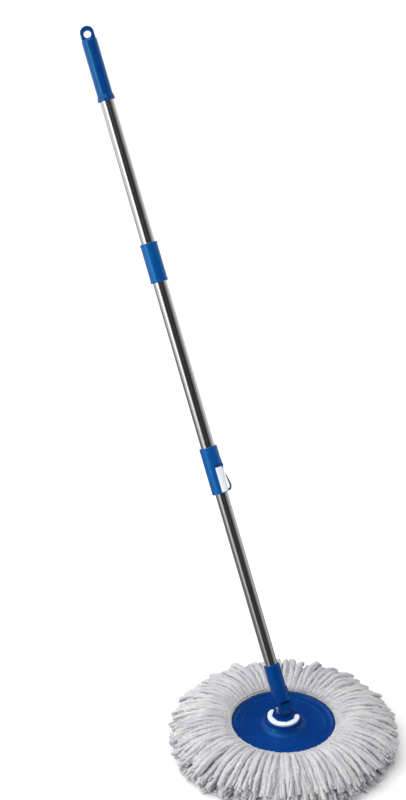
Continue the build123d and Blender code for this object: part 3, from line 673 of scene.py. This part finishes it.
# %% Round, out and up
OWN_DRIFT, TUFT_DRIFT = 0.012, 0.020  # how far yarns and tufts stray round the head, in radians
DRIFT_POWER = 1.5
PULL_GROWTH = 0.55                   # how much more a tuft is drawn together at its tips
PULL_START = (0.25, 0.6)             # how much tufts are drawn together at their roots
OWN_REACH, TUFT_REACH = 0.5, 0.5     # parts of the length spread
REACH_POWER = 0.95
FALL_POWER = 1.5
OWN_RISE, TUFT_RISE = 0.6, 0.8       # parts of the height spread
RISE_TURN = 2.4                      # the rise is highest two thirds of the way along
SWELL_START = 5.0                    # a tuft is full at one part in this of its length
DROOP_POWER = 7.0


def angle_round(strand):
    """Where a yarn runs round the head, in radians."""
    do, given = strand.tree.math, strand.tree.given
    drawn = do("ADD", do("MULTIPLY", strand.along, PULL_GROWTH), strand.tufts_own(*PULL_START, "pull"))
    kept_aside = do("SUBTRACT", 1.0, do("MULTIPLY", given("Gather"), drawn))
    kept = do("ADD", strand.tuft, do("MULTIPLY", strand.aside, kept_aside))
    angle = do("MULTIPLY", do("DIVIDE", kept, given("Tufts")), FULL_TURN)
    drift = do("MULTIPLY", strand.both(OWN_DRIFT, TUFT_DRIFT, "drift"), strand.power(DRIFT_POWER))
    return do("ADD", angle, drift)


def reach_out(strand):
    """How far from the head's middle a yarn has got."""
    do, given = strand.tree.math, strand.tree.given
    longer = do("MULTIPLY", given("Length Spread"), strand.both(OWN_REACH, TUFT_REACH, "reach"))
    tip = do("ADD", given("Tip Radius"), longer)
    return strand.tree.mix(strand.power(REACH_POWER), given("Root Radius"), tip)


def height_up(strand):
    """How high a yarn lies."""
    do, given = strand.tree.math, strand.tree.given
    height = strand.tree.mix(strand.power(FALL_POWER), given("Root Height"), given("Tip Height"))
    crown = do("SINE", do("MULTIPLY", do("POWER", strand.along, given("Arch Place")), math.pi))
    height = do("ADD", height, do("MULTIPLY", given("Arch"), crown))
    spread = do("MULTIPLY", given("Height Spread"), strand.both(OWN_RISE, TUFT_RISE, "rise"))
    rise = do("MULTIPLY", spread, do("SINE", do("MULTIPLY", strand.along, RISE_TURN)))
    height = do("ADD", height, rise)
    flank = do("POWER", do("MULTIPLY", do("ABSOLUTE", strand.aside), 2.0), 2.0)
    full = do("MINIMUM", do("MULTIPLY", strand.along, SWELL_START), 1.0)
    swell = do("MULTIPLY", do("SUBTRACT", 0.5, flank), full)
    height = do("ADD", height, do("MULTIPLY", given("Bulge"), swell))
    return do("SUBTRACT", height, do("MULTIPLY", given("Droop"), strand.power(DROOP_POWER)))


# %% [markdown]
# The three parts wander a little, each at its own pace, and are then turned into a position.
# No yarn sinks into the floor.

# %% Bend the lines
ANGLE_WANDER = (0.0, 3.4)            # a noise's own layer, and how fast it changes
HEIGHT_WANDER = (11.0, 2.8)
RADIUS_WANDER = (23.0, 2.2)
RADIUS_SHARE = 0.6
FLOOR_GAP = 0.55                     # lowest middle of a yarn, in its thicknesses


def bent_lines(strand, lines):
    """The straight lines, bent into yarns round the origin."""
    tree = strand.tree
    do, given = tree.math, tree.given
    radius = reach_out(strand)
    angle = do("ADD", angle_round(strand), do("DIVIDE", strand.wander(*ANGLE_WANDER), radius))
    height = do("ADD", height_up(strand), strand.wander(*HEIGHT_WANDER))
    radius = do("ADD", radius, do("MULTIPLY", strand.wander(*RADIUS_WANDER), RADIUS_SHARE))
    height = do("MAXIMUM", height, do("MULTIPLY", given("Thickness"), FLOOR_GAP))
    bent = tree.node("ShaderNodeCombineXYZ", {
        "X": do("MULTIPLY", radius, do("COSINE", angle)),
        "Y": do("MULTIPLY", radius, do("SINE", angle)),
        "Z": height})
    return tree.node("GeometryNodeSetPosition", {
        "Geometry": lines.outputs[0], "Position": bent.outputs[0]})


# %% [markdown]
# A yarn's skin is a flattened ring swept along it. The ring turns as it goes, from a random
# start, and gets smaller near the tip.

# %% Skin the lines
TIP_TAPER = 0.2
TAPER_POWER = 6.0
THIN_YARN, THICK_YARN = 0.8, 1.2     # of the usual thickness


def flat_ring(tree, ring_points):
    """The yarn's section, a ring pressed flat."""
    ring = tree.node("GeometryNodeCurvePrimitiveCircle", {
        "Resolution": ring_points, "Radius": tree.math("MULTIPLY", tree.given("Thickness"), 0.5)})
    squeeze = tree.node("ShaderNodeCombineXYZ", {"X": 1.0, "Y": tree.given("Flatness"), "Z": 1.0})
    return tree.node("GeometryNodeTransform", {
        "Geometry": ring.outputs[0], "Scale": squeeze.outputs[0]})


def skinned(strand, yarns, ring_points):
    """The yarns as one smooth mesh with its material."""
    tree = strand.tree
    do, given = tree.math, tree.given
    factor = tree.node("GeometryNodeSplineParameter").outputs["Factor"]
    turns = do("MULTIPLY", do("MULTIPLY", factor, given("Twists")), FULL_TURN)
    turns = do("ADD", turns, strand.own(0.0, FULL_TURN, "turn"))
    yarns = tree.node("GeometryNodeSetCurveTilt", {"Curve": yarns.outputs[0], "Tilt": turns})
    taper = do("SUBTRACT", 1.0, do("MULTIPLY", do("POWER", factor, TAPER_POWER), TIP_TAPER))
    size = do("MULTIPLY", taper, strand.own(THIN_YARN, THICK_YARN, "size"))
    skin = tree.node("GeometryNodeCurveToMesh", {
        "Curve": yarns.outputs[0], "Profile Curve": flat_ring(tree, ring_points).outputs[0],
        "Scale": size, "Fill Caps": True})
    skin = tree.node("GeometryNodeSetShadeSmooth", {"Geometry": skin.outputs[0]})
    skin = tree.node("GeometryNodeRealizeInstances", {"Geometry": skin.outputs[0]})
    return tree.node("GeometryNodeSetMaterial", {
        "Geometry": skin.outputs[0], "Material": given("Material")})


# %% The whole tree
POINTS_ALONG = 13
RING_POINTS = 5


def yarn_group():
    """The node group that grows a layer of yarns round the origin."""
    tree = new_yarn_tree()
    lines = straight_lines(tree, POINTS_ALONG)
    strand = Strand(tree)
    skin = skinned(strand, bent_lines(strand, lines), RING_POINTS)
    end = tree.node("NodeGroupOutput")
    tree.group.links.new(skin.outputs[0], end.inputs[0])
    return tree


yarn_tree_group = yarn_group()
print("nodes in the yarn tree:", len(yarn_tree_group.group.nodes))

# %% [markdown]
# A layer is the tree with one set of sizes. The modifier's inputs are set before the object
# is first evaluated, and then the result is turned into a plain mesh that needs no nodes.

# %% Grow a layer
def grow_yarns(name, count, seed, **sizes):
    """One layer of yarns as a plain mesh that stands for the fringe."""
    carrier = bpy.data.objects.new(name + "_carrier", bpy.data.meshes.new(name + "_carrier"))
    bpy.context.collection.objects.link(carrier)
    modifier = carrier.modifiers.new("yarns", "NODES")
    modifier.node_group = yarn_tree_group.group
    named = {"Count": count, "Seed": seed, "Material": microfibre}
    named.update({key.replace("_", " ").title(): value for key, value in sizes.items()})
    for key, value in named.items():
        modifier[yarn_tree_group.sockets[key].identifier] = value
    bpy.context.view_layer.update()
    evaluated = carrier.evaluated_get(bpy.context.evaluated_depsgraph_get())
    mesh = bpy.data.meshes.new_from_object(evaluated)
    mesh.name = name
    bpy.data.objects.remove(carrier)
    layer = bpy.data.objects.new(name, mesh)
    bpy.context.collection.objects.link(layer)
    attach(layer, "head")
    triangles = sum(len(face.vertices) - 2 for face in mesh.polygons)
    print(name, "yarns:", count, "triangles:", triangles)
    return layer


# %% [markdown]
# ## The fringe
# The real refill has several rows of yarns on its ring. Their sizes come from the fringe's
# box and the plate's: the top rows spring from just outside the plate's rim and arch over
# the rows below, and the lowest row lies on the floor and runs in under the plate.

# %% Rows of yarns
fringe_low, fringe_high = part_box("yarn_fringe")
plate_low, plate_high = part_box("mop_plate")
ring_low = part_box("refill_ring")[0]
fringe_radius = (fringe_high[0] - fringe_low[0]) / 2
plate_radius = (plate_high[0] - plate_low[0]) / 2
YARN = 0.0078                        # a yarn's thickness
rows = {
    "yarns_top": dict(
        count=640, seed=3, root_radius=plate_radius + 0.0040, root_height=plate_high[2] - 0.0085,
        tip_radius=fringe_radius - 0.013, tip_height=0.036, arch=0.0090, arch_place=0.80,
        length_spread=0.013, height_spread=0.0035, tufts=78.0, droop=0.006, bulge=0.005),
    "yarns_upper": dict(
        count=590, seed=11, root_radius=plate_radius + 0.002, root_height=plate_high[2] - 0.011,
        tip_radius=fringe_radius - 0.010, tip_height=0.029, arch=0.008, arch_place=0.75,
        length_spread=0.013, height_spread=0.0035, tufts=72.0, droop=0.006, bulge=0.004),
    "yarns_middle": dict(
        count=560, seed=17, root_radius=plate_radius - 0.002, root_height=plate_low[2] - 0.004,
        tip_radius=fringe_radius - 0.009, tip_height=0.021, arch=0.006, arch_place=0.75,
        length_spread=0.013, height_spread=0.0035, tufts=70.0, droop=0.005, bulge=0.004),
    "yarns_lower": dict(
        count=520, seed=23, root_radius=plate_radius - 0.004, root_height=plate_low[2] - 0.008,
        tip_radius=fringe_radius - 0.009, tip_height=0.012, arch=0.003, arch_place=0.75,
        length_spread=0.013, height_spread=0.0035, tufts=66.0, droop=0.004, bulge=0.003),
    "yarns_floor": dict(
        count=480, seed=37, root_radius=0.036, root_height=ring_low[2] - 0.012,
        tip_radius=fringe_radius - 0.011, tip_height=0.003, arch=0.0, arch_place=1.0,
        length_spread=0.014, height_spread=0.0025, tufts=64.0, droop=0.0, bulge=0.002),
}
for sizes in rows.values():
    sizes.update(gather=0.5, wave=0.012, thickness=YARN, flatness=0.82, twists=1.3)
fringe = [grow_yarns(name, **sizes) for name, sizes in rows.items()]
for layer in fringe:
    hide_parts("yarn_fringe")
